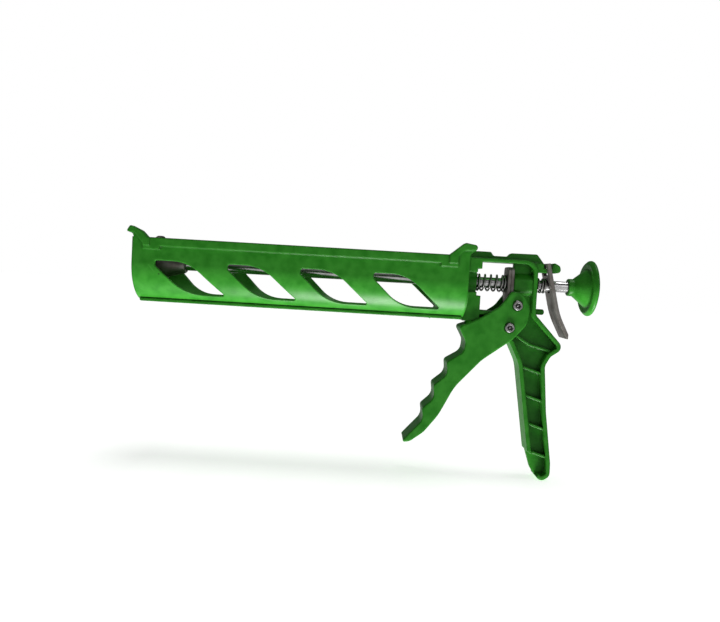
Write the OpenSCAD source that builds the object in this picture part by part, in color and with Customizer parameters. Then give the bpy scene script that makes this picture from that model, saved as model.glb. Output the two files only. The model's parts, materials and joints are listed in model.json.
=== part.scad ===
// Skeleton caulking gun for a 310 ml cartridge.
// X runs along the push rod towards the knob, Z is up, the rod's axis is Y = Z = 0
// and X = 0 is the front face of the cradle.

/* [Cradle] */
// Length of the cradle, front face to rear edge
cradle_l = 236; // [200:1:290]
// Inner radius of the cradle, half a cartridge plus its play
cradle_ri = 25.4; // [22:0.1:31.5]
// Wall of the cradle
cradle_wall = 2.3; // [2:0.1:3]
// Height of the side walls above the rod's axis
wall_top = 17.7; // [15:0.1:22]
// Height of the rail along the top of each side wall
rail_h = 5.9; // [4:0.1:8]
// How far the rail stands out of the wall
rail_out = 2.2; // [1:0.1:4]
// Thickness of the front wall
front_wall = 2.8; // [2:0.1:5]
// Radius of the notch that holds the cartridge's nozzle
notch_r = 9; // [7:0.1:12]
// Number of windows in each side wall
window_count = 4; // [3:1:5]
// Height of a window
window_h = 23; // [18:0.5:27]
// Solid length at the two ends of the row of windows, together
window_margin = 31.6; // [28:0.1:40]

/* [Frame] */
// Depth of the frame's head behind the cradle
head_l = 12; // [11:0.5:16]
// How far the head reaches into the cradle
plug_l = 9; // [6:0.5:12]
// Length of the gap that holds the drive spring and the drive plates
gap_l = 24; // [22:0.5:32]
// Length of the rear pillar
pillar_l = 16.3; // [14:0.1:20]
// Thickness of the rim that runs round the frame
rim_t = 2.8; // [2.2:0.1:3.6]
// Width of the frame across its rim
frame_w = 17; // [16:0.5:22]
// Thickness of the web inside the rim
web_t = 4; // [3:0.1:6]
// Length of the handle below the trigger's pivot
handle_l = 110; // [95:1:135]
// Number of straight ribs across the handle
handle_ribs = 4; // [2:1:6]
// Height of the rib on top of the frame
crest_h = 4.8; // [3:0.1:7]

/* [Trigger] */
// Thickness of each cheek
cheek_t = 3; // [2.6:0.1:5]
// Distance from the pivot up to the pusher
pusher_up = 16.2; // [14:0.1:19]
// Distance from the pivot back to the pusher
pusher_back = 4.7; // [3.8:0.1:5.6]
// Radius of the pusher's sleeve
pusher_r = 2.7; // [2.4:0.1:3.3]
// Radius of the pivot's sleeve
pivot_r = 3.5; // [3:0.1:4.2]

/* [Rod and plunger] */
// Diameter of the push rod
rod_d = 8; // [6.6:0.1:9.6]
// Free length of rod between the rear pillar and the knob
rod_tail = 24; // [22:0.5:40]
// Front face of the plunger disc
plunger_x = 8.4; // [8.2:0.1:30]
// Radius of the plunger disc
plunger_r = 20.5; // [16:0.1:21]
// Thickness of the plunger disc
plunger_t = 2.7; // [1.5:0.1:4]
// Length of the plunger's hub
hub_l = 20; // [14:0.5:30]
// Largest radius of the plunger's hub
hub_r = 9.7; // [8:0.1:12]
// Radius of the knob
knob_r = 20.3; // [16:0.1:25]
// Length of the knob
knob_l = 18.4; // [15:0.1:24]

/* [Plates, lever and springs] */
// Thickness of one drive plate
plate_t = 2.2; // [1.6:0.1:2.8]
// Height of the drive plates above the rod's axis
plate_top = 12.2; // [9:0.1:13]
// Thickness of the release lever
lever_t = 2.6; // [2:0.1:3]
// Width of the release lever
lever_w = 20; // [18:0.5:24]
// Lean of the release lever at rest
lever_lean = 14; // [12:0.5:16]
// Wire of both springs
wire_d = 1.4; // [1:0.1:1.6]
// Outer diameter of the drive spring
drive_spring_d = 13; // [12:0.1:15]
// Outer diameter of the release spring
release_spring_d = 11.3; // [11:0.1:13]

/* [Screws] */
// Thread diameter of the two trigger screws
screw_d = 4; // [3:0.1:4.4]
// Diameter of a screw's head
screw_head_d = 7; // [6:0.1:8]

/* [Hidden] */
$fn = 96;

green = [0.17, 0.60, 0.12];
steel = [0.72, 0.73, 0.75];
dull_steel = [0.50, 0.45, 0.41];
brass = [0.75, 0.62, 0.30];

// Clearances
slip = 0.06;
play = 0.2;

// Radii and stations that several pieces share
rod_r = rod_d / 2;
cradle_ro = cradle_ri + cradle_wall;
gap_x0 = cradle_l + head_l;
gap_x1 = gap_x0 + gap_l;
rear_x = gap_x1 + pillar_l;
boss_r = rod_r + 1.6;
// A coil always leaves room for the rod inside it
coil_steps = 14;
least_coil_d = (rod_d + play) / cos(180 / coil_steps) + 2 * wire_d;
boss_x1 = gap_x0 - 3;
shoulder_z = boss_r + 4.2;
frame_top = wall_top + 0.1;
frame_hw = frame_w / 2;
pivot_x = gap_x1 - 2.2;
pivot_z = -(cradle_ro + 3.8);
pusher_x = pivot_x + pusher_back;
pusher_z = pivot_z + pusher_up;
drive_coil_d = max(drive_spring_d, least_coil_d);
release_coil_d = max(release_spring_d, least_coil_d);
beam_top = pusher_z - pusher_r - 2.3;
beam_low = -(cradle_ro + 0.8);
plate_back = pusher_x - pusher_r - play;
plate_low = pusher_z - pusher_r - 0.8;
plate_hw = frame_hw - 0.3;
cheek_in = frame_hw + 0.4;
cheek_out = cheek_in + cheek_t;

// Tongue inside the cradle's rear end and the peg behind the pillar
tongue_l = 2.4;
tongue_h = 1.4;
tongue_x = cradle_l - plug_l + 3.2;
peg_l = 8.2;
peg_r = 2.1;

// Windows
window_top = 2;
window_pitch = (cradle_l - window_margin) / window_count;
window_x0 = window_margin / 2 + 0.6;

// Shapes drawn in the X-Z plane, with plain or rounded corners. A corner is [x, z, radius].
function unit(v) = v / norm(v);
function flat(p) = [p[0], p[1]];
function turn(u, v) = u[0] * v[1] - u[1] * v[0];
function corner(a, b, c, r, n) =
    let (u = unit(a - b), v = unit(c - b))
    let (half = acos(max(-1, min(1, u * v))) / 2)
    let (reach = min(r / tan(half), 0.48 * norm(a - b), 0.48 * norm(c - b)))
    let (radius = reach * tan(half), mid = b + unit(u + v) * radius / sin(half))
    let (from = b + u * reach - mid, to = b + v * reach - mid)
    let (a0 = atan2(from[1], from[0]), sweep = atan2(turn(from, to), from * to))
    [for (i = [0 : n]) mid + radius * [cos(a0 + sweep * i / n), sin(a0 + sweep * i / n)]];
function rounded(p, n = 6) =
    [for (i = [0 : len(p) - 1])
        let (a = flat(p[(i + len(p) - 1) % len(p)]), b = flat(p[i]), c = flat(p[(i + 1) % len(p)]))
        each p[i][2] > 0 ? corner(a, b, c, p[i][2], n) : [b]];
// The outline moved inwards by d. Corners run anticlockwise.
function inset(p, d) =
    [for (i = [0 : len(p) - 1])
        let (a = flat(p[(i + len(p) - 1) % len(p)]), b = flat(p[i]), c = flat(p[(i + 1) % len(p)]))
        let (e = unit(b - a), f = unit(c - b))
        let (m = [-e[1], e[0]], k = [-f[1], f[0]], q = b + (m + k) * d / (1 + m * k))
        [q[0], q[1], max(0.5, p[i][2] - (turn(e, f) > 0 ? d : -d))]];
function moved(p, dx, dz) = [for (q = p) [q[0] + dx, q[1] + dz, q[2]]];

// An X-Z outline given a thickness, centred on the middle plane
module slab(half) {
    rotate([90, 0, 0])
        linear_extrude(2 * half, center = true)
            children();
}
// The same outline on both sides, between the distances y0 and y1 from the middle plane
module pair(y0, y1) {
    for (side = [-1, 1])
        translate([0, side * (y0 + y1) / 2, 0])
            rotate([90, 0, 0])
                linear_extrude(y1 - y0, center = true)
                    children();
}
module along_x(x, length, r, r2 = -1) {
    translate([x, 0, 0])
        rotate([0, 90, 0])
            cylinder(h = length, r1 = r, r2 = r2 < 0 ? r : r2);
}
module along_y(x, z, y0, y1, r, sides = 64) {
    translate([x, y0, z])
        rotate([-90, 0, 0])
            cylinder(h = y1 - y0, r = r, $fn = sides);
}
module hex_x(x, length, across, bore_r) {
    difference() {
        translate([x, 0, 0])
            rotate([0, 90, 0])
                cylinder(h = length, r = across / sqrt(3), $fn = 6);
        along_x(x - 1, length + 2, bore_r);
    }
}

// ---- Cradle ----
module u_section(r, top) {
    circle(r);
    translate([-r, 0])
        square([2 * r, top]);
}
module cradle_tube(r, x, length, top) {
    translate([x, 0, 0])
        rotate([90, 0, 90])
            linear_extrude(length)
                difference() {
                    u_section(r, top);
                    translate([-2 * r, top])
                        square([4 * r, 2 * r]);
                }
}
// A leaf-shaped window that leans forward, from its top front corner
function leaf(pitch, h) = [
    [0, 0, 1.5], [0, -3.6, 2], [pitch - 30.6, -h, 30], [pitch - 2.1, -h, 1], [pitch - 27.5, 0, 30]];
module windows() {
    for (i = [0 : window_count - 1])
        polygon(rounded(moved(leaf(window_pitch, window_h), window_x0 + i * window_pitch, window_top), 8));
}
rail_inset = 8;
pad_l = 12;
pad_drop = 2.4;
ear_out = 3.2;
// Height of the ears on the side away from the screw heads, above the wall
far_ear_h = 2.6;
// Keel along the bottom: flush with the lowest line of the half-barrel
keel_hw = 0.46 * cradle_ro;
function keel() = [
    [1.5, -cradle_ro, 4], [cradle_l - 1.5, -cradle_ro, 3], [cradle_l - 1.5, -cradle_ri, 0], [1.5, -cradle_ri, 0]];
// The ear at the front, from its tip backwards, and the ear at the rear
front_ear = [
    [-3.4, wall_top + 3.0, 1], [-0.6, wall_top + 7.8, 1.5], [7.4, wall_top + 4.2, 3], [11.6, wall_top, 0],
    [11.6, wall_top - rail_h, 0], [3, wall_top - rail_h, 0], [0, wall_top + 2.4, 2]];
rear_ear = [
    [cradle_l - 14.6, wall_top, 0], [cradle_l - 14.6, wall_top - rail_h, 0],
    [cradle_l, wall_top - rail_h, 0], [cradle_l, wall_top + 1.2, 3], [cradle_l + 4.2, wall_top + 3.6, 2.4],
    [cradle_l + 4.2, wall_top + 7.2, 3.4], [cradle_l - 4.4, wall_top + 8.6, 3]];
front_ear_flange = [
    [-3.4, wall_top + 3.0, 1], [2, wall_top + 3.0, 2.5], [8.4, wall_top - 4.4, 1.5], [8.4, wall_top - rail_h, 0],
    [13, wall_top - rail_h, 0], [13, wall_top, 0], [11.6, wall_top, 0], [7.4, wall_top + 4.2, 3],
    [-0.6, wall_top + 7.8, 1.5]];
rear_ear_flange = [
    [cradle_l - 14.6, wall_top, 0], [cradle_l - 14.6, wall_top - rail_h, 0], [cradle_l - 8.3, wall_top - rail_h, 0],
    [cradle_l - 8.3, wall_top - 1, 1.5], [cradle_l - 4.8, wall_top + 3.2, 3], [cradle_l + 4.2, wall_top + 3.6, 2.4],
    [cradle_l + 4.2, wall_top + 7.2, 3.4], [cradle_l - 4.4, wall_top + 8.6, 3]];

module cradle_rails() {
    pair(cradle_ri + 0.6, cradle_ro + rail_out)
        translate([rail_inset, wall_top - rail_h])
            square([cradle_l - 2 * rail_inset, rail_h]);
    for (x = [rail_inset, cradle_l - rail_inset - pad_l])
        pair(cradle_ri + 0.6, cradle_ro + rail_out)
            translate([x, wall_top - rail_h - pad_drop])
                square([pad_l, pad_drop + 1]);
    pair(cradle_ri, cradle_ro) {
        polygon(rounded(front_ear));
        polygon(rounded(rear_ear));
    }
    pair(cradle_ri, cradle_ro + ear_out) {
        polygon(rounded(front_ear_flange));
        polygon(rounded(rear_ear_flange));
    }
}

module cradle() {
    color(green) {
        difference() {
            union() {
                cradle_tube(cradle_ro, 0, cradle_l, wall_top);
                cradle_rails();
                slab(keel_hw)
                    polygon(rounded(keel()));
            }
            cradle_tube(cradle_ri, front_wall, cradle_l + ear_out, 3 * wall_top);
            slab(cradle_ro + 1)
                windows();
            cradle_tube(notch_r, -2, front_wall + 4, 3 * wall_top);
            translate([-cradle_ri, 0, wall_top + far_ear_h])
                cube([cradle_l + 2 * cradle_ri, 2 * cradle_ro, 2 * wall_top]);
        }
        difference() {
            cradle_tube(cradle_ri + 0.3, tongue_x, tongue_l, wall_top - 4);
            cradle_tube(cradle_ri - tongue_h, tongue_x - 1, tongue_l + 2, wall_top);
        }
    }
}

// ---- Frame ----
// Outline of the whole frame, anticlockwise from the low front corner of the beam
function frame_outline() = [
    [cradle_l, beam_low, 0], [pivot_x - 8, beam_low - 0.6, 6], [pivot_x - 3.6, pivot_z - 4.6, 6],
    [pivot_x + 2.2, pivot_z - 12, 10], [pivot_x + 9.2, pivot_z - 26, 26],
    [pivot_x + 19.8, pivot_z - handle_l + 20, 18], [pivot_x + 24.2, pivot_z - handle_l + 6.8, 12],
    [pivot_x + 30.4, pivot_z - handle_l - 2.2, 4], [pivot_x + 37.4, pivot_z - handle_l + 2.4, 5],
    [pivot_x + 37.2, pivot_z - handle_l + 12, 14], [pivot_x + 31.4, pivot_z - handle_l + 50, 90],
    [pivot_x + 28.2, pivot_z - 26.6, 7], [pivot_x + 31.8, pivot_z - 19.6, 6],
    [pivot_x + 41.2, pivot_z - 13, 4.8], [rear_x + 0.4, pivot_z + 10.4, 5],
    [rear_x, frame_top, 9], [cradle_l, frame_top, 0]];
// The toe's front edge has no rim: only the web shows between the last rib and the toe
function toe_cut() = [
    [pivot_x + 15, pivot_z - handle_l + 21.4], [pivot_x + 31, pivot_z - handle_l + 15.6],
    [pivot_x + 31.5, pivot_z - handle_l + 6], [pivot_x + 27.6, pivot_z - handle_l + 1.4],
    [pivot_x + 15, pivot_z - handle_l + 1.4]];
// The gap for the spring and the drive plates, with the slot that the pusher swings through
function gap_outline() = [
    [gap_x0, beam_top, 1], [gap_x1, beam_top, 1], [gap_x1, frame_top - rim_t, 1], [gap_x0, frame_top - rim_t, 1],
    [gap_x0, shoulder_z, 0], [boss_x1, shoulder_z, 0], [boss_x1, -shoulder_z, 0], [gap_x0, -shoulder_z, 0]];

module pusher_slot() {
    translate([gap_x0 + 1, pusher_z - pusher_r - 0.7])
        square([pusher_x - gap_x0 - 1, 2 * pusher_r + 1.9]);
    translate([pusher_x, pusher_z + 0.25])
        circle(pusher_r + 0.95);
}
// Crest on the top flange: it dips in the middle and slopes down to the lug at the rear
function crest() = [
    [cradle_l + 0.4, frame_top - 2, 0], [lug_x1, frame_top - 2, 0], [lug_x1, frame_top - 1.6, 0],
    [rear_x - 0.2, frame_top + crest_h, 2], [gap_x1 - 2.6, frame_top + crest_h - 0.2, 1.5],
    [gap_x1 - 5.2, frame_top + crest_h - 2.8, 1.5], [gap_x0 + 8.4, frame_top + crest_h - 2.8, 1.5],
    [gap_x0 + 6.4, frame_top + crest_h, 1.5], [cradle_l + 7.4, frame_top + crest_h, 1.5],
    [cradle_l + 3.6, frame_top + 1.6, 1.5]];
// Lug for the release lever: roof, neck and upturned nose
lever_pin_x = rear_x + 7.6;
lever_pin_z = frame_top - 4.3;
lug_x1 = lever_pin_x - 2.6;
neck_t = 3.2;
function lug() = [
    [rear_x - 4, lever_pin_z - 0.9 - neck_t, 0], [lever_pin_x + 5.4, lever_pin_z - 0.9 - neck_t, 0.5],
    [lever_pin_x + 9.9, lever_pin_z - 3.2, 2.6], [lever_pin_x + 9, lever_pin_z + 1.4, 2.6],
    [lever_pin_x + 4.2, lever_pin_z + 3.9, 1.2], [lever_pin_x + 3.3, lever_pin_z - 0.9, 0],
    [lug_x1, lever_pin_z - 0.9, 0], [lug_x1, frame_top - 1.7, 0], [rear_x - 4, frame_top - 1.2, 0]];
lug_hw = 5;

module rod_bore() {
    along_x(cradle_l - plug_l - 2, head_l + plug_l + 4, rod_r + slip);
    along_x(gap_x1 - 2, pillar_l + 6, rod_r + slip);
}
handle_rib_t = 1.8;
module handle_rib(x, z, angle, length) {
    translate([pivot_x + x, pivot_z + z])
        rotate(angle)
            square([length, handle_rib_t]);
}
module handle_ribs_2d() {
    // The top rib is bent; the others are straight and evenly spaced
    handle_rib(2, -4.6, -30.4, 16.4);
    handle_rib(16, -12.8, -14.4, 16);
    for (i = [0 : handle_ribs - 1])
        handle_rib(6.6, -27.5 - i * (handle_l - 51) / (handle_ribs - 1), -17, 30);
}
module frame() {
    whole = frame_outline();
    inner = inset(whole, rim_t);
    color(green)
        difference() {
            union() {
                // Head that plugs into the cradle, with a groove for the cradle's tongue
                difference() {
                    cradle_tube(cradle_ri - play, cradle_l - plug_l, plug_l + 1, wall_top);
                    difference() {
                        cradle_tube(cradle_ro, tongue_x - play, tongue_l + 2 * play, wall_top + 1);
                        cradle_tube(cradle_ri - tongue_h - play, tongue_x - 1, tongue_l + 2, wall_top + 1);
                    }
                }
                // Rim all round, and the web inside it
                slab(frame_hw)
                    difference() {
                        polygon(rounded(whole));
                        polygon(rounded(inner));
                        polygon(toe_cut());
                    }
                slab(web_t / 2)
                    difference() {
                        polygon(rounded(whole));
                        polygon(rounded(gap_outline()));
                    }
                // Bulkhead behind the cradle, with two square shoulders
                slab(frame_hw)
                    translate([cradle_l, beam_low])
                        square([boss_x1 - cradle_l, frame_top - beam_low]);
                for (z = [[beam_low, -shoulder_z], [shoulder_z, frame_top - 1]])
                    slab(frame_hw)
                        translate([cradle_l, z[0]])
                            square([head_l, z[1] - z[0]]);
                // Upper flange of the beam under the gap
                slab(frame_hw)
                    polygon([[cradle_l, beam_top], [cradle_l, beam_top - rim_t],
                        [pivot_x - 4, beam_top - rim_t], [pivot_x - 4, beam_top]]);
                // Rod boss through the pillar, pivot boss, crest and lug
                intersection() {
                    along_x(gap_x1, pillar_l, rod_r + 4);
                    slab(frame_hw - 1.2)
                        polygon(rounded(whole));
                }
                along_y(pivot_x, pivot_z, -frame_hw, frame_hw, pivot_r + 2.8);
                slab(3.4)
                    polygon(rounded(crest()));
                slab(lug_hw)
                    polygon(rounded(lug()));
                // Ribs across the handle
                slab(frame_hw - 1.5)
                    intersection() {
                        polygon(rounded(inset(whole, rim_t - 0.6)));
                        handle_ribs_2d();
                    }
                // Peg that stops the release lever
                translate([0, 0, beam_top + 1])
                    union() {
                        along_x(rear_x - 1, peg_l, peg_r);
                        along_x(rear_x + peg_l - 1, 1, peg_r, peg_r - 0.8);
                    }
            }
            // Side recesses of the bulkhead leave a boss round the rod
            difference() {
                pair(boss_r - 1.4, cradle_ro + 1)
                    translate([cradle_l, -boss_r - 1.6])
                        square([head_l + 0.01, 2 * boss_r + 3.2]);
                along_x(cradle_l - 1, head_l + 2, boss_r);
            }
            rod_bore();
            along_y(pivot_x, pivot_z, -frame_hw - 1, frame_hw + 1, pivot_r + slip);
            slab(frame_hw + 1)
                pusher_slot();
        }
}

// ---- Push rod, plunger and knob ----
spigot_r = rod_r - 1;
hub_x = plunger_x + plunger_t;
knob_x = rear_x + rod_tail;
rod_end = knob_x + knob_l - 3;
collar_l = 3.8;
disc_l = 4.6;
insert_l = 5;
hex_w = rod_d + 2;
insert_x = knob_x + 5;
washer_t = 1;
nut_l = 3.2;

module push_rod() {
    color(steel) {
        along_x(plunger_x - nut_l - washer_t, nut_l + washer_t + plunger_t + play, spigot_r);
        along_x(hub_x + play, insert_x - hub_x - play, rod_r);
        along_x(insert_x, rod_end - insert_x, spigot_r);
    }
}
module plunger_disc() {
    color(dull_steel)
        rotate([0, 90, 0])
            rotate_extrude()
                polygon([[spigot_r + slip, plunger_x], [plunger_r - 1.8, plunger_x],
                    [plunger_r, plunger_x + 1.2], [plunger_r, hub_x + 1.4],
                    [plunger_r - 1.4, hub_x + 1.4], [plunger_r - 1.8, hub_x], [spigot_r + slip, hub_x]]);
}
module plunger_hub() {
    color(dull_steel)
        rotate([0, 90, 0])
            rotate_extrude()
                polygon([[rod_r + slip, hub_x], [hub_r, hub_x], [hub_r, hub_x + 0.3 * hub_l],
                    [rod_r + 2.2, hub_x + hub_l - 1], [rod_r + 1.4, hub_x + hub_l], [rod_r + slip, hub_x + hub_l]]);
}
module plunger_washer() {
    color(steel)
        difference() {
            along_x(plunger_x - washer_t, washer_t, 2 * spigot_r);
            along_x(plunger_x - washer_t - 1, washer_t + 2, spigot_r);
        }
}
module plunger_nut() {
    color(steel)
        hex_x(plunger_x - washer_t - nut_l, nut_l, hex_w, spigot_r);
}
module knob() {
    x1 = knob_x + knob_l;
    color(green)
        difference() {
            rotate([0, 90, 0])
                rotate_extrude()
                    polygon(rounded([[0, knob_x, 0], [rod_r + 2.3, knob_x, 0.8], [rod_r + 2.3, knob_x + collar_l, 1],
                        [knob_r - 7.3, x1 - disc_l - 1.6, 1], [knob_r - 6.4, x1 - disc_l, 0.8],
                        [knob_r - 2, x1 - disc_l - 0.6, 1], [knob_r, x1 - disc_l + 1.4, 1],
                        [knob_r, x1 - 1.6, 1.4], [knob_r - 4, x1, 3], [0, x1, 0]]));
            along_x(knob_x - 1, insert_x - knob_x + 1, rod_r);
            along_x(insert_x - 0.01, rod_end - insert_x + 0.01, spigot_r);
            translate([insert_x, 0, 0])
                rotate([0, 90, 0])
                    cylinder(h = insert_l, r = hex_w / sqrt(3), $fn = 6);
        }
}
module knob_insert() {
    color(brass)
        hex_x(insert_x, insert_l, hex_w, spigot_r);
}

// ---- Drive plates and springs ----
module drive_plate(x) {
    color(dull_steel)
        difference() {
            translate([x, 0, 0])
                rotate([90, 0, 90])
                    linear_extrude(plate_t)
                        polygon(rounded([[-plate_hw, plate_low, 2], [plate_hw, plate_low, 2],
                            [plate_hw, plate_top, 3], [-plate_hw, plate_top, 3]]));
            along_x(x - 1, plate_t + 2, rod_r + 0.25);
        }
}
module drive_plate_front() {
    drive_plate(plate_back - 2 * plate_t);
}
module drive_plate_rear() {
    drive_plate(plate_back - plate_t);
}
// Height of a coil's wire along the axis, t from 0 to 1: one closed turn at each end
function coil_rise(t, turns, length, wire) =
    let (edge = 1 / turns)
    t < edge ? wire * t / edge :
    t > 1 - edge ? length - wire * (1 - t) / edge :
    wire + (length - 2 * wire) * (t - edge) / (1 - 2 * edge);
module coil(x, length, outer_d, turns) {
    steps = coil_steps * turns;
    sides = 8;
    r = (outer_d - wire_d) / 2;
    wire = wire_d + 0.15;
    points = [for (i = [0 : steps]) for (j = [0 : sides - 1])
        let (a = 360 * i / coil_steps, b = 360 * j / sides, q = r + wire_d / 2 * cos(b))
        [x + wire_d / 2 + coil_rise(i / steps, turns, length - wire_d, wire) + wire_d / 2 * sin(b),
            q * sin(a), q * cos(a)]];
    skin = [for (i = [0 : steps - 1]) for (j = [0 : sides - 1])
        let (k = (j + 1) % sides)
        [i * sides + j, (i + 1) * sides + j, (i + 1) * sides + k, i * sides + k]];
    first_cap = [for (j = [0 : sides - 1]) j];
    last_cap = [for (j = [sides - 1 : -1 : 0]) steps * sides + j];
    color(steel)
        polyhedron(points, concat(skin, [first_cap, last_cap]), convexity = 10);
}
module drive_spring() {
    coil(boss_x1 + play, plate_back - 2 * plate_t - boss_x1 - 2 * play, drive_coil_d, 6);
}
module release_spring() {
    gap = lever_front_x - release_coil_d / 2 * tan(lever_lean) - rear_x;
    coil(rear_x + play, gap - 2 * play, release_coil_d, 3);
}

// ---- Release lever ----
// Where the lever's front face crosses the rod's axis
lever_front_x = lever_pin_x + lever_pin_z * tan(lever_lean) - lever_t / 2 / cos(lever_lean);
lever_top = 2.8;
lever_knee = lever_pin_z + cradle_ro - 5.6;
// The foot bends back from the knee and ends in a slanting cut
lever_foot = 20.3;
lever_bend = 14;
lever_cut = 5;
module lever_shape() {
    half = lever_t / 2;
    back = lever_foot - lever_cut;
    translate([lever_pin_x, lever_pin_z])
        rotate(lever_lean)
            polygon(rounded([[-half, lever_top, 0], [-half, -lever_knee, 60],
                [-half + lever_foot * sin(lever_bend), -lever_knee - lever_foot * cos(lever_bend), 0.6],
                [half + back * sin(lever_bend), -lever_knee - back * cos(lever_bend), 0.6],
                [half, -lever_knee + 0.6, 56], [half, lever_top, 0]]));
}
module release_lever() {
    hole_z = -lever_pin_z / cos(lever_lean);
    color(dull_steel)
        difference() {
            slab(lever_w / 2)
                lever_shape();
            // Window for the lug's neck
            translate([lever_pin_x, 0, lever_pin_z])
                rotate([0, -lever_lean, 0])
                    translate([-5, -lug_hw - play, -0.9 - neck_t - 1.6])
                        cube([10, 2 * (lug_hw + play), neck_t + 2]);
            // Hole for the rod
            translate([lever_pin_x, 0, lever_pin_z])
                rotate([0, -lever_lean, 0])
                    translate([0, 0, hole_z])
                        along_x(-5, 10, rod_r + 0.95);
        }
}

// ---- Trigger ----
// Outline about the pivot, anticlockwise from the tip; then the hollow between the cheeks
function trigger_outline() = [
    [-73.6, -88.4, 1.6], [-66.6, -87.2, 8], [-57, -79.8, 20], [-47, -66.6, 45], [-36.8, -45.6, 40],
    [-18.4, -24.8, 30], [2.6, -8.8, 16], [12.6, 3, 13], [pusher_back + 9.3, pusher_up - 0.6, 10],
    [pusher_back + 3.3, pusher_up + 9.4, 6], [pusher_back - 4.5, pusher_up + 10, 3],
    [-7.6, 15, 16], [-20.6, 6.2, 24], [-30, 1.2, 4], [-36.4, -1.2, 2.4],
    [-30.8, -11.5, 7], [-31.6, -19.8, 7], [-43.4, -27.3, 3], [-42.3, -36.6, 8], [-52, -44.9, 3],
    [-50.7, -54.2, 8], [-59.2, -62.2, 3], [-57.9, -70.4, 10]];
hollow = [
    [-30.5, 40, 0], [-30.5, -3, 2], [-26.6, -11, 5], [-28.4, -24.6, 6], [-39.2, -29, 3],
    [-38.4, -39, 6], [-47.8, -46.2, 3], [-46.8, -55.6, 6], [-55.4, -63.4, 3], [-54.2, -70.8, 8],
    [-62.6, -80.2, 2], [-58, -92, 0], [40, -60, 0], [60, 40, 0]];
screw_head_h = 3;
nut_in = 1.4;
screw_r = screw_d / 2;
nut_across = screw_d + 3;

module trigger() {
    color(green)
        translate([pivot_x, 0, pivot_z])
            difference() {
                slab(cheek_out)
                    polygon(rounded(trigger_outline()));
                slab(cheek_in)
                    polygon(rounded(hollow));
                for (q = [[0, 0], [pusher_back, pusher_up]]) {
                    along_y(q[0], q[1], -cheek_out - 1, cheek_out + 1, screw_r + slip);
                    along_y(q[0], q[1], -cheek_out - 1, -cheek_out + nut_in, screw_head_d / 2 + 0.15);
                    along_y(q[0], q[1], cheek_out - nut_in, cheek_out + 1, nut_across / sqrt(3) + 0.1, 6);
                }
            }
}
module sleeve(x, z, r) {
    color(steel)
        difference() {
            along_y(x, z, -cheek_in + 0.05, cheek_in - 0.05, r);
            along_y(x, z, -cheek_in - 1, cheek_in + 1, screw_r + slip);
        }
}
module screw(x, z) {
    seat = -cheek_out + nut_in;
    color(steel)
        difference() {
            union() {
                along_y(x, z, seat, cheek_out + 2.2, screw_r);
                along_y(x, z, seat - screw_head_h, seat, screw_head_d / 2);
            }
            along_y(x, z, seat - screw_head_h - 1, seat - screw_head_h + 1.8, screw_d * 0.42, 6);
        }
}
module nut(x, z) {
    seat = cheek_out - nut_in;
    color(steel)
        difference() {
            along_y(x, z, seat, seat + nut_l, nut_across / sqrt(3), 6);
            along_y(x, z, seat - 1, seat + nut_l + 1, screw_r);
        }
}
module pivot_sleeve() {
    sleeve(pivot_x, pivot_z, pivot_r);
}
module pivot_screw() {
    screw(pivot_x, pivot_z);
}
module pivot_nut() {
    nut(pivot_x, pivot_z);
}
module pusher_sleeve() {
    sleeve(pusher_x, pusher_z, pusher_r);
}
module pusher_screw() {
    screw(pusher_x, pusher_z);
}
module pusher_nut() {
    nut(pusher_x, pusher_z);
}

cradle();
frame();
push_rod();
plunger_disc();
plunger_hub();
plunger_washer();
plunger_nut();
knob();
knob_insert();
drive_plate_front();
drive_plate_rear();
drive_spring();
trigger();
pivot_sleeve();
pivot_screw();
pivot_nut();
pusher_sleeve();
pusher_screw();
pusher_nut();
release_lever();
release_spring();
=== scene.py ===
"""Visual model of a skeleton caulking gun, built piece by piece on its CAD frame."""
import json
import logging
import math
from dataclasses import dataclass
from enum import Enum
from typing import Any, Callable, Sequence

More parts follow.
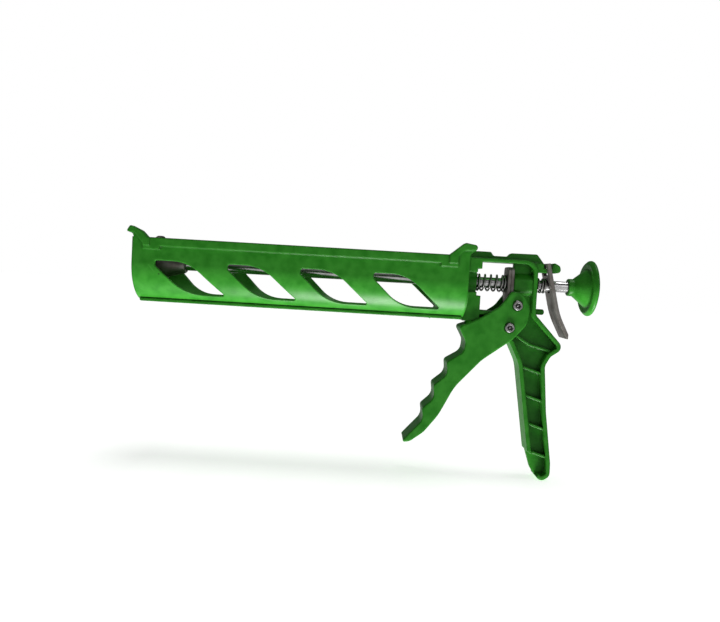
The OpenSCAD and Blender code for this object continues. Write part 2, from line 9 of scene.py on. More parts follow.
import bmesh
import bpy
from mathutils import Euler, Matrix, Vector

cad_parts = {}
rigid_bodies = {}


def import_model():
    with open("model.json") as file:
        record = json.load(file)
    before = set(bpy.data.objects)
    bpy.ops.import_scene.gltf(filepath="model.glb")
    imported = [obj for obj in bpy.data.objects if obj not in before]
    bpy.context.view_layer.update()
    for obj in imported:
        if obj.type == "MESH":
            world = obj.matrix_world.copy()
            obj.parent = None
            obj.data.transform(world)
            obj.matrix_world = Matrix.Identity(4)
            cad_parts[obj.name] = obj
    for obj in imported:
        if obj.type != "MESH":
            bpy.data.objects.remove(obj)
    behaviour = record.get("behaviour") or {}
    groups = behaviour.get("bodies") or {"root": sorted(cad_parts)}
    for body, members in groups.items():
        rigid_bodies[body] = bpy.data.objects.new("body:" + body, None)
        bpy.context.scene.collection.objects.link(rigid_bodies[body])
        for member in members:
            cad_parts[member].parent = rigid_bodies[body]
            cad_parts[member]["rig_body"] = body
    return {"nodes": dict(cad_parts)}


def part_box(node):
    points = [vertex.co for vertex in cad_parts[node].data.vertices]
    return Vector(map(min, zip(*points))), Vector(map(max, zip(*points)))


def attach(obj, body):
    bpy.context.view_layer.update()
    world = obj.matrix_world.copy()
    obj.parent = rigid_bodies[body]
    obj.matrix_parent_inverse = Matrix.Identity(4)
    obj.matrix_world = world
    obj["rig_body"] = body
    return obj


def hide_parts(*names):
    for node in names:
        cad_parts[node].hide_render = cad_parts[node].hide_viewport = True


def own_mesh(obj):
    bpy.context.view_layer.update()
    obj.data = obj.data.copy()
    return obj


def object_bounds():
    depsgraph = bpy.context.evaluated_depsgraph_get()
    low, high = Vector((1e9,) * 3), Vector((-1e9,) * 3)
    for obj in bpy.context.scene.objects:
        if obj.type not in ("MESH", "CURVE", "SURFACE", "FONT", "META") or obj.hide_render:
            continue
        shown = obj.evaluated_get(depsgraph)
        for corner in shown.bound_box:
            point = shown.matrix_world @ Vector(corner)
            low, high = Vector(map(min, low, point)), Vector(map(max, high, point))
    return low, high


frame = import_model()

LOG = logging.getLogger("caulking_gun")
MM = 0.001
CAD_BOX = [list(corner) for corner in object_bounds()]
WHITE = (1.0, 1.0, 1.0, 1.0)
# Layer that marks rounded faces to be painted pale: partly edge wear, partly painted highlight.
WEAR_AND_HIGHLIGHT_LAYER = "edge"
EDGE_SAMPLES = 6
RECESS_SAMPLES = 8


class Grain(Enum):
    """Which way the drawn or rolled marks of a metal run."""

    ALONG_X = (3.0, 900.0, 900.0)
    ALONG_Z = (260.0, 260.0, 6.0)
    NONE = (160.0, 160.0, 160.0)


class NodeBench:
    """Places shader nodes in one material and wires them up."""

    def __init__(self, name: str) -> None:
        """Starts a material.

        Args:
            name: The material's name.
        """
        self.material = bpy.data.materials.new(name)
        self.material.use_nodes = True
        self.tree = self.material.node_tree
        self.shader = self.tree.nodes["Principled BSDF"]
        self.place = self.add("ShaderNodeTexCoord").outputs["Object"]
        self.soft: bpy.types.NodeSocket | None = None

    def add(
        self, kind: str, settings: dict[str, Any] | None = None, inputs: dict[Any, Any] | None = None
    ) -> bpy.types.Node:
        """Adds one node.

        Args:
            kind: The node's type name.
            settings: Properties to set on the node.
            inputs: Sockets by name or index, each with a value or a socket to wire in.

        Returns:
            The node.
        """
        node = self.tree.nodes.new(kind)
        for key, value in (settings or {}).items():
            setattr(node, key, value)
        for key, value in (inputs or {}).items():
            if isinstance(value, bpy.types.NodeSocket):
                self.tree.links.new(value, node.inputs[key])
            else:
                node.inputs[key].default_value = value
        return node

    def stretched(
        self, scale: Sequence[float], turn_deg: Sequence[float] = (0.0, 0.0, 0.0)
    ) -> bpy.types.NodeSocket:
        """Object coordinates, turned and then scaled.

        Args:
            scale: Scale along the three axes.
            turn_deg: Turn about the three axes.

        Returns:
            The vector socket.
        """
        turn = [math.radians(a) for a in turn_deg]
        turned = self.add("ShaderNodeMapping", None, {"Vector": self.place, "Rotation": turn})
        scaled = self.add("ShaderNodeMapping", None, {"Vector": turned.outputs[0], "Scale": list(scale)})
        return scaled.outputs[0]

    def noise(
        self, scale: float, detail: float = 3.0, where: bpy.types.NodeSocket | None = None
    ) -> bpy.types.NodeSocket:
        """Noise from 0 to 1.

        Args:
            scale: Waves per unit of the coordinates.
            detail: Octaves.
            where: Coordinates other than the object's own.

        Returns:
            The value socket.
        """
        inputs = {"Vector": where or self.place, "Scale": scale, "Detail": detail}
        return self.add("ShaderNodeTexNoise", None, inputs).outputs["Fac"]

    def band(
        self, value: bpy.types.NodeSocket, low: float, high: float, to_low: float = 0.0, to_high: float = 1.0
    ) -> bpy.types.NodeSocket:
        """Maps one span of a value to another, clamped.

        Args:
            value: The socket to map.
            low: Start of the span.
            high: End of the span.
            to_low: Result at the start.
            to_high: Result at the end.

        Returns:
            The value socket.
        """
        node = self.add("ShaderNodeMapRange", {"clamp": True}, {
            "Value": value, "From Min": low, "From Max": high, "To Min": to_low, "To Max": to_high})
        return node.outputs[0]

    def math(self, operation: str, a: Any, b: Any) -> bpy.types.NodeSocket:
        """One arithmetic step, clamped to 0..1."""
        settings = {"operation": operation, "use_clamp": True}
        return self.add("ShaderNodeMath", settings, {0: a, 1: b}).outputs[0]

    def mix(self, share: Any, a: Any, b: Any) -> bpy.types.NodeSocket:
        """Blends colour a towards colour b by share."""
        node = self.add("ShaderNodeMix", {"data_type": "RGBA"}, {"Factor": share, 6: a, 7: b})
        return node.outputs[2]

    def specks(self, scale: float, reach: float, share: float) -> bpy.types.NodeSocket:
        """Small round marks scattered over the surface.

        Args:
            scale: Cells per metre.
            reach: Radius of a mark in cells.
            share: Share of the cells that have a mark.

        Returns:
            A socket that is 1 inside a mark.
        """
        cells = self.add("ShaderNodeTexVoronoi", None, {"Vector": self.place, "Scale": scale})
        inside = self.band(cells.outputs["Distance"], reach, 0.5 * reach)
        picked = self.band(cells.outputs["Color"], 1.0 - share, 1.0 - 0.9 * share)
        return self.math("MULTIPLY", inside, picked)

    def soft_edges(self, radius: float) -> bpy.types.NodeSocket:
        """Normals that turn smoothly round every edge, as on a moulded or tumbled piece.

        Args:
            radius: The radius of the turn in metres.

        Returns:
            The normal socket.
        """
        self.soft = self.add("ShaderNodeBevel", {"samples": EDGE_SAMPLES}, {"Radius": radius}).outputs[0]
        return self.soft

    def edge(self, strength: float) -> bpy.types.NodeSocket:
        """How pale the edges are painted, broken up by noise: partly rubbing wear, partly painted highlight.
        It comes after soft_edges.

        Args:
            strength: The most that an edge shows.

        Returns:
            The value socket.
        """
        flat = self.add("ShaderNodeNewGeometry").outputs["Normal"]
        turn = self.add("ShaderNodeVectorMath", {"operation": "DOT_PRODUCT"}, {0: self.soft, 1: flat})
        rounded = self.add("ShaderNodeAttribute", {"attribute_name": WEAR_AND_HIGHLIGHT_LAYER}).outputs["Fac"]
        mark = self.math("MAXIMUM", rounded, self.band(turn.outputs["Value"], 0.96, 0.74))
        broken = self.band(self.noise(140.0), 0.3, 0.62, 0.35 * strength, strength)
        return self.math("MULTIPLY", mark, broken)

    def painted_recess_shade(self, reach: float, strength: float) -> bpy.types.NodeSocket:
        """Painted shade that darkens recesses and corners, driven by ambient occlusion.

        Args:
            reach: How far from a wall it reaches, in metres.
            strength: Its share in the deepest corner.

        Returns:
            The value socket.
        """
        sky = self.add("ShaderNodeAmbientOcclusion", {"samples": RECESS_SAMPLES}, {"Distance": reach})
        return self.band(sky.outputs["AO"], 0.35, 0.85, strength, 0.0)

    def bump(
        self, height: bpy.types.NodeSocket, distance: float, below: bpy.types.NodeSocket | None = None
    ) -> bpy.types.NodeSocket:
        """A bump, on top of another one if named.

        Args:
            height: The height from 0 to 1.
            distance: The bump's depth in metres.
            below: The normal that it adds to.

        Returns:
            The normal socket.
        """
        inputs: dict[Any, Any] = {"Height": height, "Distance": distance, "Strength": 1.0}
        if below is not None:
            inputs["Normal"] = below
        return self.add("ShaderNodeBump", None, inputs).outputs[0]

    def finish(
        self, colour: bpy.types.NodeSocket, roughness: bpy.types.NodeSocket, normal: bpy.types.NodeSocket
    ) -> bpy.types.Material:
        """Wires the three surface inputs.

        Args:
            colour: The base colour.
            roughness: The roughness.
            normal: The normal.

        Returns:
            The material.
        """
        self.tree.links.new(colour, self.shader.inputs["Base Color"])
        self.tree.links.new(roughness, self.shader.inputs["Roughness"])
        self.tree.links.new(normal, self.shader.inputs["Normal"])
        return self.material


@dataclass(frozen=True)
class MouldedPlastic:
    """Semi-gloss green moulding with mottling, scuffs, specks of dirt, pale edges that are partly rubbing
    wear and partly painted highlight, and painted shade in recesses.
    """

    name: str
    colour: tuple[float, float, float, float] = (0.0058, 0.150, 0.0014, 1.0)
    deep: tuple[float, float, float, float] = (0.0048, 0.112, 0.0012, 1.0)
    pale: tuple[float, float, float, float] = (0.075, 0.40, 0.045, 1.0)
    # Colour of the dirt specks, also used for the painted shade in recesses.
    dirt: tuple[float, float, float, float] = (0.010, 0.030, 0.006, 1.0)
    chalk: tuple[float, float, float, float] = (0.45, 0.72, 0.36, 1.0)
    roughness: float = 0.34
    specular: float = 0.18
    scuffs: float = 0.5
    mottling: float = 0.16
    clouding: float = 0.03
    scuff_paleness: float = 0.55
    # How pale the edges are painted: partly rubbing wear, partly painted highlight.
    edge_wear_and_highlight: float = 0.42
    # Reach and strength of the painted shade in recesses.
    shade_reach: float = 0.003
    recess_shade: float = 0.45
    skin_depth: float = 0.000012
    ripple_depth: float = 0.00003
    dent_depth: float = 0.00006
    soft_edge: float = 0.0016

    def material(self) -> bpy.types.Material:
        """Builds the shader nodes.

        Returns:
            The material.
        """
        bench = NodeBench(self.name)
        soft = bench.soft_edges(self.soft_edge)
        broad = bench.band(bench.noise(22.0, 4.0), 0.35, 0.68)
        fine = bench.band(bench.noise(240.0, 5.0), 0.3, 0.75)
        body = bench.mix(bench.math("MULTIPLY", broad, self.mottling), self.colour, self.deep)
        body = bench.mix(bench.math("MULTIPLY", fine, self.clouding), body, self.pale)
        long_marks = bench.noise(1.0, 4.0, bench.stretched((26.0, 300.0, 420.0), (0.0, 24.0, 0.0)))
        cross_marks = bench.noise(1.0, 3.0, bench.stretched((480.0, 300.0, 34.0), (0.0, 38.0, 0.0)))
        marks = bench.math(
            "ADD", bench.band(long_marks, 0.69, 0.76), bench.band(cross_marks, 0.71, 0.77))
        marks = bench.math("MULTIPLY", marks, self.scuffs)
        body = bench.mix(bench.math("MULTIPLY", marks, self.scuff_paleness), body, self.pale)
        # Pale edges: partly rubbing wear, partly painted highlight.
        body = bench.mix(bench.edge(self.edge_wear_and_highlight), body, self.pale)
        dirt = bench.math("MULTIPLY", bench.specks(150.0, 0.11, 0.10), 0.85)
        chalk = bench.math("MULTIPLY", bench.specks(118.0, 0.10, 0.07), 0.6)
        body = bench.mix(dirt, body, self.dirt)
        body = bench.mix(chalk, body, self.chalk)
        # Painted shade: recesses and corners are darkened towards the dirt colour by ambient occlusion.
        body = bench.mix(bench.painted_recess_shade(self.shade_reach, self.recess_shade), body, self.dirt)
        smooth, dull = self.roughness - 0.02, self.roughness + 0.05
        rough = bench.band(bench.noise(60.0, 5.0), 0.3, 0.75, smooth, dull)
        rough = bench.math("ADD", rough, bench.math("MULTIPLY", marks, 0.22))
        skin = bench.bump(bench.noise(1500.0, 2.0), self.skin_depth, soft)
        ripple = bench.bump(bench.noise(55.0, 1.0), self.ripple_depth, skin)
        sunk = bench.math("MAXIMUM", dirt, marks)
        dents = bench.bump(bench.math("SUBTRACT", 1.0, sunk), self.dent_depth, ripple)
        bench.shader.inputs["Specular IOR Level"].default_value = self.specular
        return bench.finish(body, rough, dents)


@dataclass(frozen=True)
class Steel:
    """Bare or plated steel with drawn marks, stains, brighter edges that are partly rubbing wear and partly
    painted glint, and painted shade in recesses.
    """

    name: str
    colour: tuple[float, float, float, float] = (0.60, 0.60, 0.61, 1.0)
    stain: tuple[float, float, float, float] = (0.26, 0.22, 0.19, 1.0)
    # Colour of the brighter edges: partly rubbing wear, partly painted glint.
    bright: tuple[float, float, float, float] = (0.86, 0.86, 0.86, 1.0)
    # Colour of the painted shade in recesses.
    recess_shade: tuple[float, float, float, float] = (0.035, 0.032, 0.03, 1.0)
    roughness: float = 0.24
    stained: float = 0.35
    grain: Grain = Grain.NONE
    edge_wear_and_glint: float = 0.75
    # Reach and share of the painted shade in recesses.
    shade_reach: float = 0.0022
    shade_share: float = 0.9
    drawn_depth: float = 0.000004
    pit_depth: float = 0.00001
    soft_edge: float = 0.0004

    def material(self) -> bpy.types.Material:
        """Builds the shader nodes.

        Returns:
            The material.
        """
        bench = NodeBench(self.name)
        soft = bench.soft_edges(self.soft_edge)
        streaks = bench.noise(1.0, 5.0, bench.stretched(self.grain.value))
        patches = bench.band(bench.noise(75.0, 5.0), 0.42, 0.72, 0.0, self.stained)
        spots = bench.math("MULTIPLY", bench.specks(420.0, 0.2, 0.25), self.stained)
        body = bench.mix(bench.band(streaks, 0.3, 0.7, 0.0, 0.5), self.colour, self.stain)
        body = bench.mix(bench.math("MAXIMUM", patches, spots), body, self.stain)
        # Brighter edges: partly rubbing wear, partly painted glint.
        body = bench.mix(bench.edge(self.edge_wear_and_glint), body, self.bright)
        # Painted shade: recesses and corners are darkened by ambient occlusion.
        body = bench.mix(bench.painted_recess_shade(self.shade_reach, self.shade_share), body, self.recess_shade)
        rough = bench.band(streaks, 0.25, 0.75, self.roughness, self.roughness + 0.16)
        rough = bench.math("ADD", rough, bench.math("MULTIPLY", patches, 0.4))
        marks = bench.bump(streaks, self.drawn_depth, soft)
        pits = bench.bump(bench.noise(900.0, 3.0), self.pit_depth, marks)
        bench.shader.inputs["Metallic"].default_value = 1.0
        return bench.finish(body, rough, pits)


GREEN = MouldedPlastic("green_moulding")
GREEN_GRIP = MouldedPlastic("green_moulding_trigger", scuffs=0.8, roughness=0.4)
ROD_STEEL = Steel("drawn_rod_steel", colour=(0.44, 0.44, 0.45, 1.0), roughness=0.11, stained=0.3,
                  grain=Grain.ALONG_X)
PLATE_STEEL = Steel("pressed_plate_steel", colour=(0.155, 0.122, 0.10, 1.0),
                    stain=(0.075, 0.048, 0.034, 1.0), bright=(0.40, 0.39, 0.37, 1.0),
                    roughness=0.4, stained=0.6, grain=Grain.ALONG_Z)
SPRING_STEEL = Steel("spring_steel", colour=(0.52, 0.52, 0.53, 1.0), roughness=0.2, stained=0.25)
ZINC = Steel("zinc_plate", colour=(0.42, 0.43, 0.44, 1.0), roughness=0.2, stained=0.3)
BRASS = Steel("turned_brass", colour=(0.72, 0.52, 0.22, 1.0), stain=(0.32, 0.20, 0.08, 1.0),
              bright=(0.9, 0.74, 0.4, 1.0), roughness=0.28)


class Dresser:
    """Gives pieces their finish, making each finish once."""

    made: dict[str, bpy.types.Material] = {}

    @classmethod
    def dress(cls, piece: bpy.types.Object, finish: MouldedPlastic | Steel, slot: str) -> None:
        """Puts one finish on a piece.

        Args:
            piece: The piece.
            finish: Its finish.
            slot: The record's material slot that the finish stands for; not used.
        """
        if finish.name not in cls.made:
            cls.made[finish.name] = finish.material()
        piece.data.materials.clear()
        piece.data.materials.append(cls.made[finish.name])


def place_in_scene(name: str, shape: bmesh.types.BMesh, sharp_deg: float = 34.0) -> bpy.types.Object:
    """Turns a bmesh into a smooth-shaded object at the origin.

    Args:
        name: The object's name.
        shape: The bmesh, which is freed.
        sharp_deg: Edges sharper than this stay crisp.

    Returns:
        The object.
    """
    mesh = bpy.data.meshes.new(name)
    shape.to_mesh(mesh)
    shape.free()
    mesh.polygons.foreach_set("use_smooth", [True] * len(mesh.polygons))
    mesh.set_sharp_from_angle(angle=math.radians(sharp_deg))
    piece = bpy.data.objects.new(name, mesh)
    bpy.context.scene.collection.objects.link(piece)
    return piece


def joined_chains(edges: Sequence[bmesh.types.BMEdge]) -> list[list[bmesh.types.BMEdge]]:
    """Splits edges into groups that hang together, so that a tight spot in one does not thin the others.

    Args:
        edges: The edges.

    Returns:
        The groups, in the same order on every run.
    """
    left = dict.fromkeys(edges)
    chains = []
    while left:
        chain = [next(iter(left))]
        del left[chain[0]]
        for edge in chain:
            for other in (other for vert in edge.verts for other in vert.link_edges):
                if other in left:
                    del left[other]
                    chain.append(other)
        chains.append(chain)
    return chains


@dataclass
class Rounding:
    """One pass of edge rounding over a piece."""

    width: float
    segments: int = 2
    picks: Callable[[bmesh.types.BMEdge], bool] = lambda edge: True

    def apply(self, shape: bmesh.types.BMesh, sharp_deg: float = 33.0) -> None:
        """Rounds the sharp edges that picks accepts and marks the new faces to be painted pale, partly as
        edge wear and partly as painted highlight.

        Args:
            shape: The piece's bmesh.
            sharp_deg: Only edges that turn by more than this are rounded.
        """
        layers = shape.loops.layers.float_color
        wear_and_highlight = layers.get(WEAR_AND_HIGHLIGHT_LAYER) or layers.new(WEAR_AND_HIGHLIGHT_LAYER)
        limit = math.radians(sharp_deg)
        sharp = [edge for edge in shape.edges
                 if len(edge.link_faces) == 2 and edge.calc_face_angle(0.0) > limit and self.picks(edge)]
        for chain in joined_chains(sharp):
            made = bmesh.ops.bevel(shape, geom=chain, offset=self.width, offset_type="OFFSET",
                                   segments=self.segments, profile=0.5, affect="EDGES",
                                   clamp_overlap=True, material=-1)
            # The new faces are painted pale: partly edge wear, partly painted highlight.
            for face in made["faces"]:
                for loop in face.loops:
                    loop[wear_and_highlight] = WHITE


@dataclass
class MadePart:
    """A piece made from its CAD solid: merged, freed of flat triangles, and given rounded edges that are
    painted pale, partly as wear and partly as painted highlight.
    """

    node: str
    finish: MouldedPlastic | Steel
    slot: str
    roundings: Sequence[Rounding]
    merge: float = 1e-6
    flat_deg: float = 0.6
    shortest: float = 0.15 * MM

    def build(self) -> bpy.types.Object:
        """Builds, dresses and mounts the piece.

        Returns:
            The piece, riding on its body in place of its CAD solid.
        """
        source = frame["nodes"][self.node]
        shape = bmesh.new()
        shape.from_mesh(source.data)
        bmesh.ops.remove_doubles(shape, verts=shape.verts, dist=self.merge)
        bmesh.ops.dissolve_limit(shape, angle_limit=math.radians(self.flat_deg),
                                 verts=shape.verts, edges=shape.edges)
        bmesh.ops.dissolve_degenerate(shape, dist=self.shortest, edges=shape.edges)
        shape.loops.layers.float_color.new(WEAR_AND_HIGHLIGHT_LAYER)
        for rounding in self.roundings:
            rounding.apply(shape)
        piece = place_in_scene(f"{self.node}_piece", shape)
        weighted = piece.modifiers.new("even_shading", "WEIGHTED_NORMAL")
        weighted.keep_sharp = True
        Dresser.dress(piece, self.finish, self.slot)
        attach(piece, source["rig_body"])
        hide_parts(self.node)
        LOG.info("%s: %d faces", piece.name, len(piece.data.polygons))
        return piece


@dataclass
class Cradle:
    """The half-barrel that holds the cartridge, with the gate's stub under it."""

    edge_round: float = 0.5 * MM
    gate_x: float = 213.0 * MM
    gate_r: float = 0.9 * MM
    gate_l: float = 1.3 * MM
    gate_taper: float = 0.35
    gate_sunk: float = 0.4
    gate_round: float = 0.15 * MM
    gate_sides: int = 20

    def gate(self) -> bpy.types.Object:
        """The short stub that the mould's gate left on the keel.

        Returns:
            The piece.
        """
        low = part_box("cradle")[0][2]
        shape = bmesh.new()
        bmesh.ops.create_cone(shape, cap_ends=True, segments=self.gate_sides,
                              radius1=self.gate_taper * self.gate_r, radius2=self.gate_r, depth=self.gate_l)
        place = (self.gate_x, 0.0, low - self.gate_sunk * self.gate_l)
        bmesh.ops.translate(shape, verts=shape.verts, vec=place)
        Rounding(self.gate_round).apply(shape)
        piece = place_in_scene("gate_stub", shape)
        Dresser.dress(piece, GREEN, "green_plastic")
        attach(piece, frame["nodes"]["cradle"]["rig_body"])
        LOG.info("%s: %d faces", piece.name, len(piece.data.polygons))
        return piece

    def build(self) -> None:
        """Builds the shell and the stub."""
        MadePart("cradle", GREEN, "green_plastic", [Rounding(self.edge_round, 3)]).build()
        self.gate()


@dataclass
class FrameMoulding:
    """The frame in one moulding: head, gap, pillar, lug and handle."""

    rim_round: float = 0.75 * MM
    small_round: float = 0.3 * MM
    sleeve_proud: float = 0.35 * MM
    reach: float = 0.1 * MM

    def __post_init__(self) -> None:
        """Finds how far the rim's outer faces stand from the middle plane."""
        self.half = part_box("pivot_sleeve")[1][1] - self.sleeve_proud

    def on_rim(self, edge: bmesh.types.BMEdge) -> bool:
        """Whether an edge lies on one of the rim's two outer faces."""
        return all(abs(abs(v.co.y) - self.half) < self.reach for v in edge.verts)

    def build(self) -> None:
        """Builds the moulding with softer outer edges than inner ones."""
        MadePart("frame", GREEN, "green_plastic",
                 [Rounding(self.rim_round, 3, self.on_rim), Rounding(self.small_round, 2)]).build()


@dataclass
class SocketScrew:
    """A round-headed screw with a hexagonal socket and a pin in the middle of it, along Y."""

    node: str
    shank_r: float = 2.0 * MM
    head_l: float = 3.0 * MM
    dome: float = 0.75 * MM
    socket_r: float = 2.0 * MM
    socket_l: float = 1.7 * MM
    pin_r: float = 0.7 * MM
    chamfer: float = 0.25 * MM
    steps: int = 72
    merge: float = 1e-7
    on_wall: float = 1e-6

    def profile(self, front: float, back: float, head_r: float) -> list[tuple[float, float]]:
        """The turned outline from the tail to the pin, as radius and Y.

        Args:
            front: Y of the head's face.
            back: Y of the tail.
            head_r: The head's radius.

        Returns:
            The outline's points.
        """
        seat = front + self.head_l
        floor = front + self.socket_l
        return [(0.0, back), (self.shank_r - self.chamfer, back), (self.shank_r, back - self.chamfer),
                (self.shank_r, seat), (head_r - self.chamfer, seat), (head_r, seat - self.chamfer),
                (head_r, front + self.dome), (head_r - 0.12 * self.dome, front + 0.5 * self.dome),
                (head_r - 0.5 * self.dome, front + 0.12 * self.dome), (head_r - self.dome, front),
                (self.socket_r + 1.6 * self.chamfer, front), (self.socket_r, front + self.chamfer),
                (self.socket_r, floor), (self.pin_r, floor), (self.pin_r, front + 2 * self.chamfer),
                (self.pin_r - self.chamfer, front + self.chamfer), (0.0, front + self.chamfer)]

    def build(self) -> bpy.types.Object:
        """Turns the screw and presses its socket into a hexagon.

        Returns:
            The piece.
        """
        low, high = (Vector(corner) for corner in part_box(self.node))
        middle = (low + high) / 2
        shape = bmesh.new()
        outline = self.profile(low.y, high.y, (high.x - low.x) / 2)
        points = [shape.verts.new((middle.x + r, y, middle.z)) for r, y in outline]
        line = [shape.edges.new(pair) for pair in zip(points, points[1:])]
        bmesh.ops.spin(shape, geom=points + line, cent=(middle.x, 0.0, middle.z), axis=(0.0, 1.0, 0.0),
                       angle=2 * math.pi, steps=self.steps, use_merge=True)
        bmesh.ops.remove_doubles(shape, verts=shape.verts, dist=self.merge)
        bmesh.ops.recalc_face_normals(shape, faces=shape.faces)
        for vert in shape.verts:
            out = Vector((vert.co.x - middle.x, 0.0, vert.co.z - middle.z))
            in_head = low.y < vert.co.y < low.y + self.head_l - self.chamfer
            if in_head and abs(out.length - self.socket_r) < self.on_wall:
                turn = math.atan2(out.z, out.x) % (math.pi / 3) - math.pi / 6
                flat = math.cos(math.pi / 6) / math.cos(turn)
                vert.co = Vector((middle.x, vert.co.y, middle.z)) + out * flat
        piece = place_in_scene(f"{self.node}_piece", shape)
        Dresser.dress(piece, ZINC, "zinc_steel")
        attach(piece, frame["nodes"][self.node]["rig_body"])
        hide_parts(self.node)
        LOG.info("%s: %d faces", piece.name, len(piece.data.polygons))
        return piece


@dataclass
class TriggerGroup:
    """The trigger with its two socket screws, nuts and sleeves."""

    grip_round: float = 0.7 * MM
    small_round: float = 0.3 * MM
    screw_clear: float = 6.0 * MM
    fastener_round: float = 0.2 * MM
    reach: float = 0.05 * MM

    def __post_init__(self) -> None:
        """Finds the cheeks' outer faces and the middles of the screws."""
        self.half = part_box("trigger")[1][1]
        self.screws = [sum((Vector(corner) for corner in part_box(node)), Vector()) / 2
                       for node in ("pivot_screw", "pusher_screw")]

    def on_cheek(self, edge: bmesh.types.BMEdge) -> bool:
        """Whether an edge lies on a cheek's outer face, away from the screws.

        Args:
            edge: The edge.

        Returns:
            True if it does.
        """
        if any(abs(abs(v.co.y) - self.half) > self.reach for v in edge.verts):
            return False
        middle = (edge.verts[0].co + edge.verts[1].co) / 2
        return all(math.hypot(middle.x - q.x, middle.z - q.z) > self.screw_clear for q in self.screws)

    def build(self) -> None:
        """Builds the trigger and its fasteners."""
        MadePart("trigger", GREEN_GRIP, "green_plastic",
                 [Rounding(self.grip_round, 3, self.on_cheek), Rounding(self.small_round, 2)]).build()
        for node in ("pivot_sleeve", "pusher_sleeve", "pivot_nut", "pusher_nut"):
            MadePart(node, ZINC, "zinc_steel", [Rounding(self.fastener_round)]).build()
        for node in ("pivot_screw", "pusher_screw"):
            SocketScrew(node).build()


@dataclass
class RodGroup:
    """The push rod with the plunger at one end and the knob at the other."""

    edge_round: float = 0.3 * MM
    washer_round: float = 0.12 * MM

    def build(self) -> None:
        """Builds the rod's pieces."""
        soft = [Rounding(self.edge_round, 3)]
        MadePart("push_rod", ROD_STEEL, "rod_steel", soft).build()
        MadePart("plunger_disc", PLATE_STEEL, "plate_steel", soft).build()
        MadePart("plunger_hub", PLATE_STEEL, "plate_steel", soft).build()
        MadePart("plunger_washer", ZINC, "zinc_steel", [Rounding(self.washer_round)]).build()
        MadePart("plunger_nut", ZINC, "zinc_steel", soft).build()
        MadePart("knob", GREEN, "green_plastic", []).build()
        MadePart("knob_insert", BRASS, "insert_brass", soft).build()


@dataclass
class GripPlates:
    """The two drive plates and the release lever, pressed from plate."""

    edge_round: float = 0.35 * MM

    def build(self) -> None:
        """Builds the three plates."""
        for node in ("drive_plate_front", "drive_plate_rear", "release_lever"):
            MadePart(node, PLATE_STEEL, "plate_steel", [Rounding(self.edge_round, 3)]).build()


@dataclass
class Spring:
    """A round-wire compression spring with closed ends, wound along X."""

    node: str
    turns: float
    joint: str
    keep: float
    wire: float = 1.4 * MM
    closed: float = 1.0
    closed_gap: float = 1.08
    crisp_deg: float = 50.0
    steps_per_turn: int = 36
    sides: int = 14

    def build(self) -> bpy.types.Object:
        """Winds the spring over its CAD solid's length and diameter.

        Returns:
            The piece.
        """
        low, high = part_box(self.node)
        coil_r = (high[2] - low[2] - self.wire) / 2
        open_turns = self.turns - 2 * self.closed
        length = high[0] - low[0] - self.wire
        end_pitch = self.closed_gap * self.wire
        open_pitch = (length - 2 * self.closed * end_pitch) / open_turns
        shape = bmesh.new()
        bmesh.ops.create_circle(shape, segments=self.sides, radius=self.wire / 2)
        upright = Euler((math.pi / 2, 0.0, 0.0)).to_matrix()
        bmesh.ops.rotate(shape, verts=shape.verts, matrix=upright)
        bmesh.ops.translate(shape, verts=shape.verts, vec=(low[0] + self.wire / 2, 0.0, coil_r))
        ring: list[Any] = list(shape.verts) + list(shape.edges)
        end = (self.closed, end_pitch)
        for turns, pitch in (end, (open_turns, open_pitch), end):
            steps = max(1, round(turns * self.steps_per_turn))
            made = bmesh.ops.spin(shape, geom=ring, cent=(0.0, 0.0, 0.0), axis=(1.0, 0.0, 0.0),
                                  dvec=(turns * pitch / steps, 0.0, 0.0),
                                  angle=-2 * math.pi * turns, steps=steps)
            ring = made["geom_last"]
        bmesh.ops.holes_fill(shape, edges=[e for e in shape.edges if e.is_boundary], sides=0)
        bmesh.ops.recalc_face_normals(shape, faces=shape.faces)
        piece = place_in_scene(f"{self.node}_piece", shape, self.crisp_deg)
        Dresser.dress(piece, SPRING_STEEL, "spring_steel")
        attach(piece, frame["nodes"][self.node]["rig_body"])
        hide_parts(self.node)
        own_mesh(piece)
        LOG.info("%s: %d faces", piece.name, len(piece.data.polygons))
        return piece


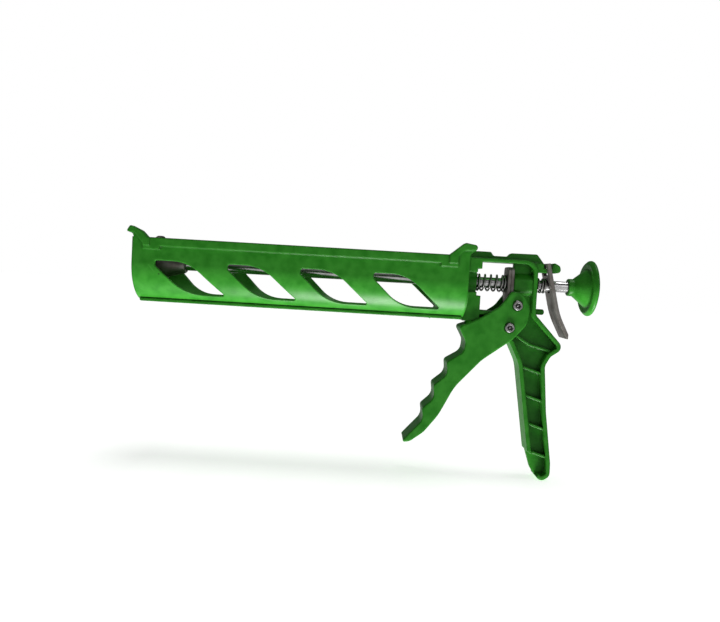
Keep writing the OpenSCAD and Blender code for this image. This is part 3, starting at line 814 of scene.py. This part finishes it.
@dataclass
class Studio:
    """Pale floor, soft lights and the camera."""

    floor_gap: float = 0.3 * MM
    lens: float = 31.95
    eye: tuple[float, float, float] = (0.16858, -0.47296, -0.00373)
    turn_deg: tuple[float, float, float] = (87.247, -3.3606, 1.0405)
    floor_light: float = 0.22
    floor_seen: float = 0.72
    world_light: float = 0.10
    sensor: float = 36.0
    near_clip: float = 0.01
    floor_size: float = 6.0
    aim: tuple[float, float, float] = (0.16, 0.0, -0.02)
    key_place: tuple[float, float, float] = (0.20, -0.27, -1.4)
    key_watts: float = 36.0
    key_size: float = 0.6
    fill_place: tuple[float, float, float] = (0.9, -1.2, 0.5)
    fill_watts: float = 1.6
    fill_size: float = 0.7
    sun_from: tuple[float, float, float] = (0.12, 0.05, 1.0)
    sun_strength: float = 1.0
    sun_spread_deg: float = 22.0

    def camera(self) -> None:
        """Places the camera."""
        data = bpy.data.cameras.new("camera")
        data.lens = self.lens
        data.sensor_width = self.sensor
        data.clip_start = self.near_clip
        camera = bpy.data.objects.new("camera", data)
        camera.location = self.eye
        camera.rotation_euler = [math.radians(a) for a in self.turn_deg]
        bpy.context.scene.collection.objects.link(camera)
        bpy.context.scene.camera = camera

    def floor(self) -> bpy.types.Object:
        """A plain pale floor under the handle's foot.

        Returns:
            The floor.
        """
        shape = bmesh.new()
        bmesh.ops.create_grid(shape, x_segments=1, y_segments=1, size=self.floor_size)
        height = CAD_BOX[0][2] - self.floor_gap
        bmesh.ops.translate(shape, verts=shape.verts, vec=(0.0, 0.0, height))
        floor = place_in_scene("studio_floor", shape)
        bench = NodeBench("pale_floor")
        patches = bench.band(bench.noise(3.0, 3.0), 0.3, 0.7, 0.0, 0.3)
        tone = bench.mix(patches, (0.80, 0.80, 0.80, 1.0), (0.77, 0.77, 0.76, 1.0))
        rough = bench.band(bench.noise(40.0), 0.3, 0.7, 0.72, 0.82)
        seen = bench.add("ShaderNodeLightPath").outputs["Is Camera Ray"]
        glow = bench.add("ShaderNodeMix", None, {0: seen, 2: self.floor_light, 3: self.floor_seen})
        bench.shader.inputs["Emission Color"].default_value = WHITE
        bench.tree.links.new(glow.outputs[0], bench.shader.inputs["Emission Strength"])
        floor.data.materials.append(bench.finish(tone, rough, bench.bump(bench.noise(500.0), 0.00002)))
        floor.visible_shadow = False
        return floor

    def lamp(self, name: str, place: Sequence[float], watts: float, size: float) -> None:
        """Adds one soft square lamp that faces the gun.

        Args:
            name: The lamp's name.
            place: Where it stands.
            watts: Its power.
            size: Length of its side.
        """
        data = bpy.data.lights.new(name, "AREA")
        data.energy = watts
        data.size = size
        lamp = bpy.data.objects.new(name, data)
        lamp.location = place
        lamp.rotation_euler = (Vector(self.aim) - Vector(place)).to_track_quat("-Z", "Y").to_euler()
        lamp.visible_camera = False
        bpy.context.scene.collection.objects.link(lamp)

    def sun(self) -> None:
        """Adds an even light from above, wide enough to shade softly."""
        data = bpy.data.lights.new("overhead", "SUN")
        data.energy = self.sun_strength
        data.angle = math.radians(self.sun_spread_deg)
        sun = bpy.data.objects.new("overhead", data)
        sun.rotation_euler = Vector(self.sun_from).to_track_quat("Z", "Y").to_euler()
        bpy.context.scene.collection.objects.link(sun)

    def world(self) -> None:
        """White surroundings, dimmer as a source of light than as a background."""
        world = bpy.data.worlds.new("studio")
        bpy.context.scene.world = world
        world.use_nodes = True
        tree = world.node_tree
        background = tree.nodes["Background"]
        rays = tree.nodes.new("ShaderNodeLightPath")
        tone = tree.nodes.new("ShaderNodeMix")
        tone.inputs[2].default_value = self.world_light
        tone.inputs[3].default_value = 1.0
        tree.links.new(rays.outputs["Is Camera Ray"], tone.inputs[0])
        tree.links.new(tone.outputs[0], background.inputs["Strength"])
        background.inputs["Color"].default_value = WHITE

    def build(self) -> None:
        """Builds the studio."""
        bpy.context.scene.view_settings.view_transform = "Standard"
        self.camera()
        self.floor()
        self.world()
        self.lamp("low_key", self.key_place, self.key_watts, self.key_size)
        self.sun()
        self.lamp("front_fill", self.fill_place, self.fill_watts, self.fill_size)
        LOG.info("studio ready")


def main() -> None:
    """Builds every sub-assembly in order."""
    logging.basicConfig(level=logging.INFO, format="%(name)s: %(message)s", force=True)
    Cradle().build()
    FrameMoulding().build()
    TriggerGroup().build()
    RodGroup().build()
    GripPlates().build()
    Spring("drive_spring", 6.0, "drive_plate_slide", 0.56).build()
    Spring("release_spring", 3.0, "release_lever", 0.92).build()
    Studio().build()


if __name__ == "__main__":
    main()
